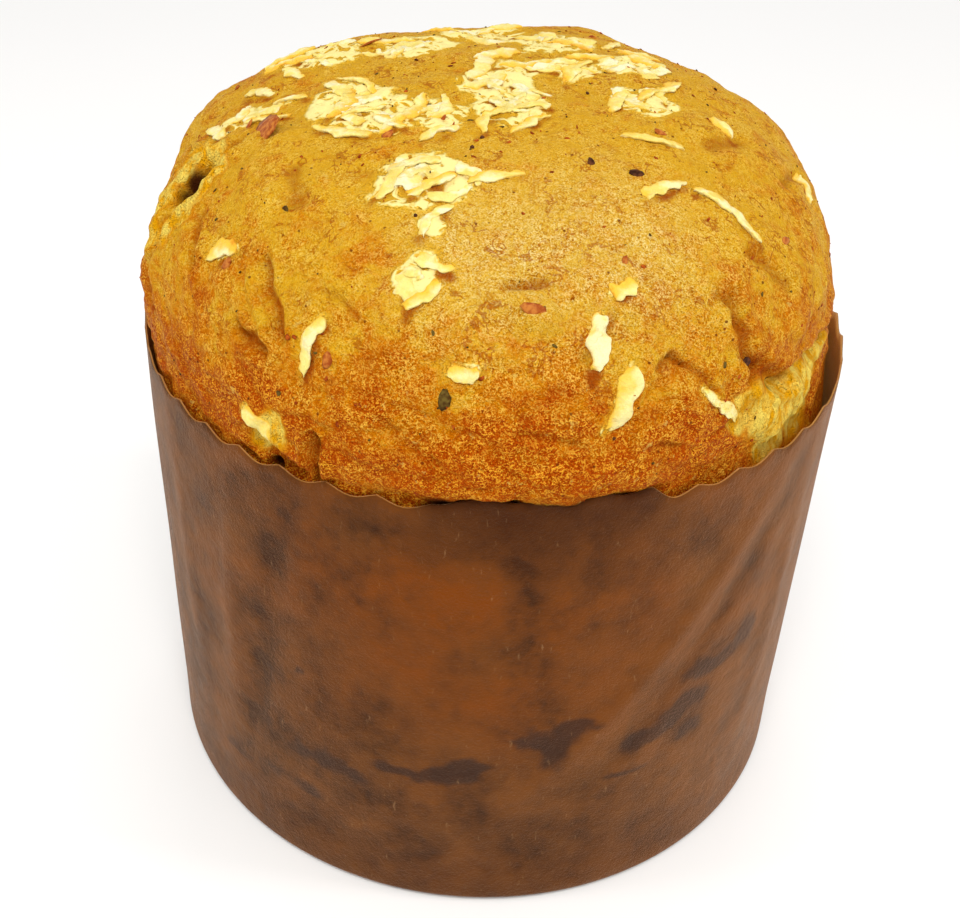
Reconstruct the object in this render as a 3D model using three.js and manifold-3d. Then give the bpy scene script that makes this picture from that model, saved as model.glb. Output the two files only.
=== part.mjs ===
// A savoury panettone of about 500 g in its scalloped paper case.
// Millimetres, +Z up, origin at the middle of the underside, front of the loaf towards -Y.
// Places on the crown are given as a bearing round the loaf (0 = +X, -90 = front) and a
// tilt down from the top, both in degrees, seen from the middle of the case's rim.

import * as THREE from 'three';
import { mergeVertices } from 'three/addons/utils/BufferGeometryUtils.js';
import Module from 'manifold-3d';

const wasm = await Module();
wasm.setup();

// ---- driving dimensions -------------------------------------------------------------

const paper = {
  radius: 67, // outside of the wall at the rim
  foot: 67.5, // and just above the floor
  thickness: 0.5,
  rim: 97.6, // mean height of the scalloped edge
  scallops: 48,
  scallopHeight: 1.4, // from a trough to a tip
  scallopRound: 1.3, // 1 gives sharp tips and round troughs, 2 an even wave
  corner: 1.3, // outside radius where the wall turns in
  hemReach: 9, // width of the hem turned in under the loaf
  seamBearing: 96, // middle of the glued lap at the back
  seamWidth: 13,
  seamLift: 0.35,
};

const base = { radius: 64, thickness: 0.5 };
const fit = 0.3; // gap between touching pieces

const loaf = {
  wall: 66, // radius inside the case
  corner: 3,
  shoulder: 84, // height where the loaf starts to draw in from the paper
  neck: 64.8, // widest radius at the rim of the case
  lip: 99, // nothing reaches over the rim below this height
  right: 62.2, // the crown sits off-round: its half-widths at the widest line
  back: 65.4,
  left: 64.6,
  front: 69.3,
  bulgeHeight: 104.5,
  crown: 37.6, // rise of the crown above its widest line
  fullness: 2.7, // 2 would be an ellipse
  lean: new THREE.Vector2(0.5, 1.2), // shift of the very top
  sides: 84,
  crownRings: 18,
};

// Heights of the rings between the wall and the crown, closest under the lip.
const neckHeights = [loaf.shoulder, 91, paper.rim, loaf.lip, 100, 102];

// Swellings and hollows of the crown: reach across the surface and lift outwards, in mm.
const swells = [
  { bearing: -66, tilt: 80, reach: 12, lift: 1.2 }, // raised flap at the front right
  { bearing: -85, tilt: 62, reach: 9, lift: 0.8 },
  { bearing: -10, tilt: 72, reach: 24, lift: 1.0 }, // shoulder above the right crack
  { bearing: -152, tilt: 78, reach: 22, lift: 1.0 }, // lobe below the left crack
  { bearing: 152, tilt: 58, reach: 32, lift: 1.9 },
  { bearing: 172, tilt: 64, reach: 20, lift: -1.2 },
  { bearing: -128, tilt: 60, reach: 22, lift: 0.7 },
  { bearing: -75, tilt: 40, reach: 22, lift: 0.7 },
  { bearing: 45, tilt: 58, reach: 34, lift: -1.6 },
  { bearing: 90, tilt: 40, reach: 24, lift: 0.6 },
  { bearing: 100, tilt: 74, reach: 22, lift: -0.9 },
];

// Cracks and folds in the crust, from one place to another.
const creases = [
  { from: [-163, 57], to: [-154, 70], reach: 6, lift: -2.4 }, // left crack
  { from: [-154, 70], to: [-158, 82], reach: 5, lift: -1.4 },
  { from: [-54, 72], to: [-31, 72], reach: 6, lift: -2.2 }, // right crack
  { from: [-31, 72], to: [-14, 80], reach: 5, lift: -1.5 },
  { from: [-70, 71], to: [-60, 74], reach: 4, lift: -1.3 }, // under the flap
  { from: [-119, 84], to: [-121, 92], reach: 5, lift: -2.2 }, // torn spot at the rim
  { from: [-114, 82], to: [-113, 92], reach: 3.5, lift: -1.5 },
  { from: [38, 66], to: [62, 76], reach: 6, lift: -1.8 }, // back of the crown
  { from: [118, 62], to: [132, 72], reach: 6, lift: -1.9 },
];

// Shreds of grated cheese, partly sunk in the crust.
const shred = { rise: 0.9, sink: 0.7, taper: 0.45, sway: 0.35, steps: 4 };

// Place of the middle, turn of the long side from level, length and width.
const shreds = [
  // left of the top: a melted heap and the strips round it
  { at: [176, 49], turn: 56, size: [7, 2.2] },
  { at: [-173, 43], turn: 72, size: [6, 1.8] },
  { at: [-170, 35], turn: 21, size: [11, 2.8] },
  { at: [-174, 31], turn: 35, size: [11, 2.4] },
  { at: [-159, 35], turn: 146, size: [11, 2.2] },
  { at: [-147, 33], turn: 83, size: [7, 2.2] },
  { at: [-141, 39], turn: 17, size: [12, 2.2] },
  { at: [-133, 32], turn: 6, size: [7, 2] },
  { at: [-130, 32], turn: 98, size: [7, 2] },
  { at: [-137, 25], turn: 128, size: [10, 2.4] },
  { at: [-128, 22], turn: 117, size: [9, 2] },
  { at: [-114, 31], turn: 58, size: [7, 2] },
  // the top
  { at: [140, 9], turn: 30, size: [12, 3.2] },
  { at: [98, 16], turn: 40, size: [11, 2.4] },
  { at: [66, 11], turn: 60, size: [12, 2.4] },
  { at: [-147, 6], turn: 100, size: [9, 2.2] },
  { at: [-96, 23], turn: 81, size: [10, 2.4] },
  { at: [-77, 18], turn: 5, size: [9, 2] },
  { at: [-78, 24], turn: 38, size: [9, 2] },
  { at: [24, 17], turn: -41, size: [12, 2.8] },
  { at: [42, 24], turn: 34, size: [8, 2.2] },
  // right of the top
  { at: [30, 34], turn: -5, size: [10, 3.2] },
  { at: [40, 38], turn: 50, size: [8, 3] },
  { at: [-23, 25], turn: 5, size: [9, 2.2] },
  { at: [-3, 31], turn: -31, size: [12, 2.2] },
  { at: [-41, 37], turn: -50, size: [10, 2] },
  { at: [-15, 43], turn: 60, size: [5, 2.6] },
  { at: [-54, 47], turn: 8, size: [9, 2.2] },
  { at: [-45, 51], turn: -58, size: [7, 2.2] },
  { at: [-42, 56], turn: -77, size: [7, 2] },
  { at: [-9, 61], turn: 27, size: [7, 1.8] },
  // front: heap in the middle and single shreds below it
  { at: [-116, 45], turn: 87, size: [8, 2.4] },
  { at: [-112, 41], turn: 28, size: [8, 2.2] },
  { at: [-106, 44], turn: 40, size: [8, 2] },
  { at: [-91, 41], turn: 18, size: [9, 1.8] },
  { at: [-101, 61], turn: 54, size: [6, 2.2] },
  { at: [-100, 57], turn: -10, size: [6, 2.2] },
  { at: [-137, 64], turn: 19, size: [6, 3] },
  { at: [-115, 70], turn: -104, size: [9, 2.4] },
  { at: [-94, 69], turn: 14, size: [4.5, 2.6] },
  { at: [-71, 60], turn: 22, size: [4.5, 2.6] },
  { at: [-75, 66], turn: -89, size: [8, 2] },
  { at: [-74, 73], turn: -118, size: [9, 2.2] },
  { at: [-58, 77], turn: -43, size: [11, 1.8] },
  { at: [-123, 84], turn: -50, size: [7, 2.8] },
  // left edge
  { at: [-172, 56], turn: 22, size: [11, 2] },
  { at: [-158, 61], turn: 47, size: [10, 1.8] },
  { at: [-162, 68], turn: 73, size: [5, 2.4] },
];

// More shreds, strewn by rule over the far side.
const strewn = {
  count: 16,
  seed: 11,
  bearings: [50, 172],
  tilts: [28, 74],
  lengths: [5, 11],
  widths: [1.8, 2.8],
};

// ---- small helpers ------------------------------------------------------------------

const radians = THREE.MathUtils.degToRad;
const middle = new THREE.Vector3(0, 0, paper.rim); // tilts are measured here

// Falls from 1 at the middle of a swelling to 0 at its reach.
const fade = (distance, reach) => THREE.MathUtils.smoothstep(1 - distance / reach, 0, 1);

function direction(bearing, tilt) {
  const b = radians(bearing);
  const t = radians(tilt);
  return new THREE.Vector3(Math.sin(t) * Math.cos(b), Math.sin(t) * Math.sin(b), Math.cos(t));
}

// Half-width of the crown towards a bearing: a quarter ellipse between two sides.
function crownReach(x, y) {
  const across = x > 0 ? loaf.right : loaf.left;
  const along = y > 0 ? loaf.back : loaf.front;
  const radius = Math.hypot(x, y) || 1;
  return 1 / Math.hypot(x / radius / across || 0, y / radius / along || 1 / across);
}

// Radius of the plain loaf at a height above the shoulder, where the crown reaches so far.
function plainRadius(z, reach) {
  const rise = (z - loaf.bulgeHeight) / loaf.crown;
  if (rise >= 0) return reach * Math.max(0, 1 - rise ** loaf.fullness) ** (1 / loaf.fullness);
  const neck = Math.min(reach - 0.8, loaf.neck);
  if (z > paper.rim) {
    const drop = (loaf.bulgeHeight - z) / (loaf.bulgeHeight - paper.rim);
    return reach - (reach - neck) * drop * drop;
  }
  const up = THREE.MathUtils.smoothstep(z, loaf.shoulder, paper.rim);
  return loaf.wall - (loaf.wall - neck) * up;
}

// Where a ray from the middle of the rim leaves the plain loaf.
function plainPoint(way) {
  const crown = crownReach(way.x, way.y);
  let near = 0;
  let far = 2 * loaf.front;
  for (let step = 0; step < 40; step++) {
    const reach = (near + far) / 2;
    const height = middle.z + reach * way.z;
    if (reach * Math.hypot(way.x, way.y) < plainRadius(height, crown)) near = reach;
    else far = reach;
  }
  return middle.clone().addScaledVector(way, near);
}

const lumps = swells.map(({ bearing, tilt, reach, lift }) => {
  const place = plainPoint(direction(bearing, tilt));
  return { line: new THREE.Line3(place, place.clone()), reach, lift };
});
for (const { from, to, reach, lift } of creases) {
  const [start, end] = [from, to].map((place) => plainPoint(direction(...place)));
  lumps.push({ line: new THREE.Line3(start, end), reach, lift });
}

// Moves a point of the plain loaf out or in, by all the swellings and creases near it.
const nearest = new THREE.Vector3();
function shaped(point) {
  let lift = 0;
  for (const lump of lumps) {
    if (lump.line.distanceSq() > 0) lump.line.closestPointToPoint(point, true, nearest);
    else nearest.copy(lump.line.start);
    lift += lump.lift * fade(point.distanceTo(nearest), lump.reach);
  }
  const way = point.clone().sub(middle);
  const moved = point.clone().addScaledVector(way.normalize(), lift);
  const lean = THREE.MathUtils.smoothstep(moved.z, loaf.bulgeHeight, loaf.bulgeHeight + loaf.crown);
  moved.x += loaf.lean.x * lean;
  moved.y += loaf.lean.y * lean;
  if (moved.z < loaf.lip) {
    const radius = Math.hypot(moved.x, moved.y);
    const most = Math.min(1, loaf.wall / radius);
    moved.set(moved.x * most, moved.y * most, moved.z);
  }
  return moved;
}

const crownPoint = (way) => shaped(plainPoint(way));

function quarterArc(centreX, centreY, radius, from, steps) {
  return Array.from({ length: steps + 1 }, (_, i) => {
    const angle = radians(from + (90 * i) / steps);
    return new THREE.Vector2(centreX + radius * Math.cos(angle), centreY + radius * Math.sin(angle));
  });
}

// A lathe turns about Y; this stands it up on Z.
function turned(profile, sides) {
  const geometry = new THREE.LatheGeometry(profile, sides);
  geometry.rotateX(Math.PI / 2);
  geometry.deleteAttribute('normal');
  geometry.deleteAttribute('uv');
  return mergeVertices(geometry, 1e-3);
}

function eachVertex(geometry, move) {
  const position = geometry.getAttribute('position');
  const vertex = new THREE.Vector3();
  for (let i = 0; i < position.count; i++) {
    vertex.fromBufferAttribute(position, i);
    const moved = move(vertex);
    position.setXYZ(i, moved.x, moved.y, moved.z);
  }
  return geometry;
}

function toManifold(geometry) {
  const vertProperties = new Float32Array(geometry.getAttribute('position').array);
  const triVerts = new Uint32Array(geometry.index.array);
  return new wasm.Manifold(new wasm.Mesh({ numProp: 3, vertProperties, triVerts }));
}

function fromManifold(manifold) {
  const mesh = manifold.getMesh();
  const geometry = new THREE.BufferGeometry();
  geometry.setAttribute('position', new THREE.BufferAttribute(mesh.vertProperties, 3));
  geometry.setIndex(new THREE.BufferAttribute(mesh.triVerts, 1));
  return geometry;
}

// ---- the loaf -----------------------------------------------------------------------

const floorOfLoaf = base.thickness + fit + paper.thickness + fit;

function bareLoaf() {
  const centre = loaf.wall - loaf.corner;
  const profile = [
    new THREE.Vector2(0, floorOfLoaf),
    ...quarterArc(centre, floorOfLoaf + loaf.corner, loaf.corner, -90, 2),
  ];
  for (const z of neckHeights) profile.push(new THREE.Vector2(loaf.wall, z));
  for (let ring = 0; ring < loaf.crownRings; ring++) {
    const up = radians((90 * ring) / loaf.crownRings);
    const radius = Math.cos(up) ** (2 / loaf.fullness);
    const rise = Math.sin(up) ** (2 / loaf.fullness);
    profile.push(new THREE.Vector2(loaf.wall * radius, loaf.bulgeHeight + loaf.crown * rise));
  }
  profile.push(new THREE.Vector2(0, loaf.bulgeHeight + loaf.crown));
  return eachVertex(turned(profile, loaf.sides), (vertex) => {
    if (vertex.z <= loaf.shoulder) return vertex;
    const radius = Math.hypot(vertex.x, vertex.y);
    const wanted = plainRadius(vertex.z, crownReach(vertex.x, vertex.y));
    const scale = radius > 0 ? wanted / radius : 1;
    return shaped(new THREE.Vector3(vertex.x * scale, vertex.y * scale, vertex.z));
  });
}

// A thin bar bent onto the crown, narrower and lower towards its ends.
function shredGeometry({ at, turn, size: [length, width] }) {
  const geometry = new THREE.BoxGeometry(length, width, 1, shred.steps, 1, 1);
  geometry.deleteAttribute('normal');
  geometry.deleteAttribute('uv');
  const out = direction(...at);
  const level = new THREE.Vector3(-out.y, out.x, 0).normalize();
  const along = level.clone().applyAxisAngle(out, radians(turn));
  const across = out.clone().cross(along);
  const place = plainPoint(out);
  return eachVertex(mergeVertices(geometry, 1e-3), ({ x, y, z }) => {
    const end = (2 * x) / length;
    const side = y * (1 - shred.taper * end * end) + shred.sway * Math.sin(x + turn);
    const spot = place.clone().addScaledVector(along, x).addScaledVector(across, side);
    const way = spot.sub(middle).normalize();
    const height = z > 0 ? shred.rise * (1 - shred.taper * end * end) : -shred.sink;
    return crownPoint(way).addScaledVector(way, height);
  });
}

function strewnShreds() {
  let seed = strewn.seed;
  const between = ([low, high]) => {
    seed += 1;
    return low + (high - low) * THREE.MathUtils.seededRandom(seed);
  };
  const [first, last] = strewn.bearings;
  return Array.from({ length: strewn.count }, (_, i) => ({
    at: [first + ((last - first) * (i + 0.5)) / strewn.count, between(strewn.tilts)],
    turn: between([-90, 90]),
    size: [between(strewn.lengths), between(strewn.widths)],
  }));
}

function breadGeometry() {
  let bread = toManifold(bareLoaf());
  for (const one of [...shreds, ...strewnShreds()]) {
    bread = bread.add(toManifold(shredGeometry(one)));
  }
  return fromManifold(bread);
}

// ---- the paper case -----------------------------------------------------------------

function caseGeometry() {
  const bottom = base.thickness + fit;
  const hemEnd = paper.foot - paper.hemReach;
  const centreX = paper.foot - paper.corner;
  const centreY = bottom + paper.corner;
  const inside = paper.corner - paper.thickness;
  const profile = [
    new THREE.Vector2(hemEnd, bottom),
    ...quarterArc(centreX, centreY, paper.corner, -90, 2),
    new THREE.Vector2(paper.radius, paper.rim),
    new THREE.Vector2(paper.radius - paper.thickness, paper.rim),
    ...quarterArc(centreX, centreY, inside, -90, 1).reverse(),
    new THREE.Vector2(hemEnd, bottom + paper.thickness),
    new THREE.Vector2(hemEnd, bottom),
  ];
  return eachVertex(turned(profile, paper.scallops * 4), (vertex) => {
    const bearing = Math.atan2(vertex.y, vertex.x);
    const radius = Math.hypot(vertex.x, vertex.y);
    const fromSeam = Math.abs(bearing - radians(paper.seamBearing)) * paper.radius;
    if (vertex.z > centreY - 1e-3 && radius > paper.radius - 1e-3 && fromSeam < paper.seamWidth / 2) {
      vertex.x *= 1 + paper.seamLift / radius;
      vertex.y *= 1 + paper.seamLift / radius;
    }
    if (vertex.z > paper.rim - 1) {
      const wave = 1 - Math.abs(Math.sin((bearing * paper.scallops) / 2)) ** paper.scallopRound;
      vertex.z += paper.scallopHeight * (wave - 0.5);
    }
    return vertex;
  });
}

function baseGeometry() {
  return turned([
    new THREE.Vector2(0, 0),
    new THREE.Vector2(base.radius, 0),
    new THREE.Vector2(base.radius, base.thickness),
    new THREE.Vector2(0, base.thickness),
  ], 64);
}

// ---- the object ---------------------------------------------------------------------

const crust = new THREE.MeshStandardMaterial({ color: 0xd99a38, roughness: 0.75 });
const brownPaper = new THREE.MeshStandardMaterial({ color: 0x74492a, roughness: 0.6 });
const basePaper = new THREE.MeshStandardMaterial({ color: 0x6b4228, roughness: 0.8 });

function piece(name, geometry, material) {
  const mesh = new THREE.Mesh(geometry, material);
  mesh.name = name;
  return mesh;
}

const panettone = new THREE.Group();
panettone.add(piece('bread', breadGeometry(), crust));
panettone.add(piece('paper_case', caseGeometry(), brownPaper));
panettone.add(piece('case_base', baseGeometry(), basePaper));

export default panettone;
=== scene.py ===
import math
import random

import bpy
import numpy as np
from mathutils import Matrix, Vector, noise
from mathutils.bvhtree import BVHTree


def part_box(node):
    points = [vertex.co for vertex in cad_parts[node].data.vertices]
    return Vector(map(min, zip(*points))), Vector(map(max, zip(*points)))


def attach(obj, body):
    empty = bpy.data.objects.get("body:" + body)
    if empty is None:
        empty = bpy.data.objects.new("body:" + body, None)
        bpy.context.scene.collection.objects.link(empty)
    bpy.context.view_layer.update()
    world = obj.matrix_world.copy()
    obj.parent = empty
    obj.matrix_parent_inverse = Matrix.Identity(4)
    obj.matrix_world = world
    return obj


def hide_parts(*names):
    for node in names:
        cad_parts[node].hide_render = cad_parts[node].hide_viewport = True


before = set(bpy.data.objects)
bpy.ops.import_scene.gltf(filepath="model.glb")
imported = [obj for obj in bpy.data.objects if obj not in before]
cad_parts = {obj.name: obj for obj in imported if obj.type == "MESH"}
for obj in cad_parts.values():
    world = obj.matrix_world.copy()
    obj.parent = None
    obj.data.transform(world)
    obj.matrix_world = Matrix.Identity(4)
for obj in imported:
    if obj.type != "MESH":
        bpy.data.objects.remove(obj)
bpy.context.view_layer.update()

# Savoury panettone in its paper case. Shapes are worked out in millimetres and scaled at the end.
mm = 0.001
caseLow, caseHigh = (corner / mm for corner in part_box("paper_case"))
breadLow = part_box("bread")[0] / mm
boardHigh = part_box("case_base")[1] / mm
# Places on the crown are a bearing round the loaf (0 = +X, -90 = front) and a tilt down from
# the top, in degrees, seen from the middle of the rim.
rim = caseHigh.z - 0.7  # half a scallop under the tips
middle = Vector((0, 0, rim))
print("frame loaded, case", [round(value, 1) for value in caseHigh - caseLow], "mm")

view = {
    "place": (-1.5, -221.2, 220.5),  # mm
    "down": 36.1,  # degrees below level
    "roll": 2.65,  # degrees
    "lens": 48.2,
}


def makeCamera():
    data = bpy.data.cameras.new("camera")
    data.lens = view["lens"]
    camera = bpy.data.objects.new("camera", data)
    bpy.context.scene.collection.objects.link(camera)
    pitch = Matrix.Rotation(math.radians(90 - view["down"]), 4, "X")
    roll = Matrix.Rotation(math.radians(view["roll"]), 4, "Z")
    camera.matrix_world = Matrix.Translation(Vector(view["place"]) * mm) @ pitch @ roll
    bpy.context.scene.camera = camera


# area lamps: place in m, size in m, strength in W, colour
lamps = {
    "top": ((0.0, -0.40, 0.66), (0.28, 0.24), 3.2, (1.0, 0.98, 0.94)),
    "back": ((0.1, 1.4, 1.5), (1.0, 0.7), 5.4, (1.0, 0.98, 0.95)),
    "left": ((-1.65, -0.33, 0.66), (0.35, 1.3), 7.0, (1.0, 0.99, 0.98)),
    "right": ((1.76, -0.22, 0.77), (0.35, 1.3), 10.0, (1.0, 0.99, 0.98)),
}

studio = {
    "aim": (0, 0, 0.09),  # m, where the lamps point
    "air": (1.0, 0.99, 0.98, 1),
    "strength": 0.62,
    "floor": 6,  # m
}


def makeLights():
    for name, (place, size, power, colour) in lamps.items():
        data = bpy.data.lights.new(name, "AREA")
        data.shape = "RECTANGLE"
        data.size, data.size_y = size
        data.energy = power
        data.color = colour
        lamp = bpy.data.objects.new(name, data)
        lamp.location = place
        aim = Vector(studio["aim"]) - lamp.location
        lamp.rotation_euler = aim.to_track_quat("-Z", "Y").to_euler()
        bpy.context.scene.collection.objects.link(lamp)
    world = bpy.data.worlds.new("studio")
    world.use_nodes = True
    background = world.node_tree.nodes["Background"]
    background.inputs["Color"].default_value = studio["air"]
    background.inputs["Strength"].default_value = studio["strength"]
    bpy.context.scene.world = world
    bpy.context.scene.view_settings.view_transform = "Standard"


makeCamera()
makeLights()
print("camera and lights ready")


def selectOnly(piece):
    if bpy.context.object and bpy.context.object.mode != "OBJECT":
        bpy.ops.object.mode_set(mode="OBJECT")
    bpy.ops.object.select_all(action="DESELECT")
    piece.select_set(True)
    bpy.context.view_layer.objects.active = piece


def editOnly(piece, pick):
    # edit mode with just the vertices that pick(co) accepts selected
    selectOnly(piece)
    bpy.ops.object.mode_set(mode="EDIT")
    bpy.ops.mesh.select_mode(type="VERT")
    bpy.ops.mesh.select_all(action="DESELECT")
    bpy.ops.object.mode_set(mode="OBJECT")
    for vertex in piece.data.vertices:
        vertex.select = pick(vertex.co)
    bpy.ops.object.mode_set(mode="EDIT")


def addShape(name, add, **settings):
    # a new primitive, with nothing else selected
    bpy.ops.object.select_all(action="DESELECT")
    add(**settings)
    piece = bpy.context.object
    piece.name = name
    return piece


def startEdit(piece):
    # edit mode with everything selected
    selectOnly(piece)
    bpy.ops.object.mode_set(mode="EDIT")
    bpy.ops.mesh.select_all(action="SELECT")


def endEdit():
    # every face outwards, then back to object mode
    bpy.ops.mesh.select_all(action="SELECT")
    bpy.ops.mesh.normals_make_consistent(inside=False)
    bpy.ops.object.mode_set(mode="OBJECT")


def newMesh(name, vertices, faces):
    mesh = bpy.data.meshes.new(name)
    mesh.from_pydata(vertices, [], faces)
    piece = bpy.data.objects.new(name, mesh)
    bpy.context.scene.collection.objects.link(piece)
    return piece


def applyModifier(piece, name, kind, **settings):
    selectOnly(piece)
    modifier = piece.modifiers.new(name, kind)
    for key, value in settings.items():
        setattr(modifier, key, value)
    bpy.ops.object.modifier_apply(modifier=modifier.name)


def points(piece):
    co = np.empty(len(piece.data.vertices) * 3, np.float32)
    piece.data.vertices.foreach_get("co", co)
    return co.reshape(-1, 3).astype(float)


def normals(piece):
    found = np.empty(len(piece.data.vertices) * 3, np.float32)
    piece.data.vertex_normals.foreach_get("vector", found)
    return found.reshape(-1, 3).astype(float)


def setPoints(piece, co):
    piece.data.vertices.foreach_set("co", co.astype(np.float32).ravel())
    piece.data.update()


def paint(piece, name, values):
    layer = piece.data.attributes.new(name, "FLOAT", "POINT")
    layer.data.foreach_set("value", np.clip(values, 0, 1).astype(np.float32))


def grain(co, size, seed):
    # soft noise from -1 to 1 with lumps about so many mm wide
    shift = Vector((seed, 2.7 * seed, -1.3 * seed))
    return np.array([noise.noise(Vector(point) / size + shift) for point in co])


def shifts(co, size, seeds, height):
    # three noises as a shift in x, y and z
    return np.stack([grain(co, size, seed) for seed in seeds], 1) * height


def smooth(t):
    t = np.clip(t, 0, 1)
    return t * t * (3 - 2 * t)


def bell(distance, width):
    return np.exp(-((distance / width) ** 2))


def turnFrom(place, bearing):
    # degrees round the loaf from a place, between -180 and 180
    return (bearing - place + 180) % 360 - 180


def finishPiece(piece, material, replaced=(), angle=None):
    # scaled to metres, shaded smooth, with its finish, slot and body
    piece.data.transform(Matrix.Scale(mm, 4))
    selectOnly(piece)
    if angle is None:
        bpy.ops.object.shade_smooth()
    else:
        bpy.ops.object.shade_smooth_by_angle(angle=math.radians(angle))
    piece.data.materials.clear()
    piece.data.materials.append(material)
    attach(piece, "root")
    if replaced:
        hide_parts(*replaced)
    print(piece.name, "has", sum(len(face.vertices) - 2 for face in piece.data.polygons), "triangles")


class Wire:
    # a socket whose + - and * add Math nodes
    def __init__(self, finish, socket):
        self.finish = finish
        self.socket = socket

    def math(self, operation, first, second):
        return self.finish.add("ShaderNodeMath", {"operation": operation}, {0: first, 1: second})

    def __add__(self, other):
        return self.math("ADD", self, other)

    __radd__ = __add__

    def __sub__(self, other):
        return self.math("SUBTRACT", self, other)

    def __rsub__(self, other):
        return self.math("SUBTRACT", other, self)

    def __mul__(self, other):
        return self.math("MULTIPLY", self, other)

    __rmul__ = __mul__

    def limit(self):
        return self.finish.add("ShaderNodeClamp", {}, {"Value": self})

    def above(self, low, high):
        # 0 under low, 1 over high, with a soft step between them
        inputs = {"Value": self, "From Min": low, "From Max": high}
        return self.finish.add("ShaderNodeMapRange", {"interpolation_type": "SMOOTHSTEP"}, inputs)

    def offLines(self, sharp):
        # 0 along thin lines where the value crosses one half, 1 between them
        away = (self - 0.5) * sharp
        return (away * away).above(0, 1)


class Finish:
    def __init__(self, name):
        self.material = bpy.data.materials.new(name)
        self.material.use_nodes = True
        self.tree = self.material.node_tree
        self.shader = self.tree.nodes["Principled BSDF"]

    def add(self, kind, settings, inputs, output=0):
        node = self.tree.nodes.new(kind)
        for key, value in settings.items():
            setattr(node, key, value)
        for key, value in inputs.items():
            self.feed(node.inputs[key], value)
        return Wire(self, node.outputs[output])

    def feed(self, socket, value):
        if isinstance(value, Wire):
            self.tree.links.new(value.socket, socket)
        elif isinstance(value, (tuple, list)) and len(value) == 3 and socket.type == "RGBA":
            socket.default_value = (*value, 1)
        else:
            socket.default_value = value

    def place(self):
        return self.add("ShaderNodeTexCoord", {}, {}, "Object")

    def stretched(self, scale, turn=(0, 0, 0)):
        return self.add("ShaderNodeMapping", {}, {"Vector": self.place(), "Scale": scale, "Rotation": turn})

    def noise(self, size, detail=3, rough=0.5, vector=None, warp=0):
        # size in mm
        inputs = {"Scale": 1 / (size * mm), "Detail": detail, "Roughness": rough, "Distortion": warp}
        inputs["Vector"] = vector or self.place()
        return self.add("ShaderNodeTexNoise", {}, inputs)

    def cells(self, size):
        return self.add("ShaderNodeTexVoronoi", {}, {"Scale": 1 / (size * mm), "Vector": self.place()})

    def painted(self, name):
        return self.add("ShaderNodeAttribute", {"attribute_name": name}, {}, "Fac")

    def blend(self, share, first, second):
        return self.add("ShaderNodeMix", {"data_type": "RGBA"}, {0: share, 6: first, 7: second}, 2)

    def layers(self, colour, tints, *coats):
        # coats of named tints, each laid over the ones before by its share
        for tint, share in coats:
            colour = self.blend(share, colour, tints[tint])
        return colour

    def bump(self, height, depth, strength, under=None):
        # depth in mm
        inputs = {"Height": height, "Distance": depth * mm, "Strength": strength}
        if under:
            inputs["Normal"] = under
        return self.add("ShaderNodeBump", {}, inputs)

    def wear(self, sockets):
        for key, value in sockets.items():
            self.feed(self.shader.inputs[key], value)
        return self.material


crust = {
    "gold": (0.74, 0.388, 0.012),
    "orange": (0.63, 0.192, 0),
    "brown": (0.46, 0.070, 0),
    # a painted highlight on the middle of the front
    "pale": (0.76, 0.46, 0.050),
    "rust": (0.43, 0.092, 0),
    "rosy": (0.52, 0.21, 0.025),
    # painted highlights on the grain: plain, on brown crust and in the painted highlight at the front
    "glint": (0.93, 0.64, 0.115),
    "brownGlint": (0.91, 0.41, 0.026),
    "paleGlint": (0.94, 0.75, 0.32),
    # gaps between the grains: orange-brown, partly painted shade
    "gap": (0.50, 0.16, 0),
    "brownGap": (0.26, 0.025, 0),
    "pit": (0.28, 0.045, 0),
    "vein": (0.36, 0.050, 0.001),
    "blotch": (0.80, 0.55, 0.12),
    "spice": (0.15, 0.026, 0.003),
    # rust-brown in the creases, partly painted shade
    "foldBrownAndShade": (0.34, 0.058, 0.001),
    "crumb": (0.80, 0.37, 0.003),
    "paleCrumb": (0.92, 0.67, 0.11),
    "deepCrumb": (0.72, 0.29, 0.002),
    "crumbEdge": (0.68, 0.24, 0.001),
    "soaked": (0.76, 0.42, 0.022),  # where cheese ran into it
    "cheese": (0.80, 0.55, 0.085),
    "paleCheese": (0.84, 0.74, 0.30),
    # browned crust below the shreds, partly painted shadow
    "toast": (0.34, 0.055, 0.002),
    # painted shade in deep holes and under the lip
    "paintedShade": (0.040, 0.009, 0.001),
}


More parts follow.
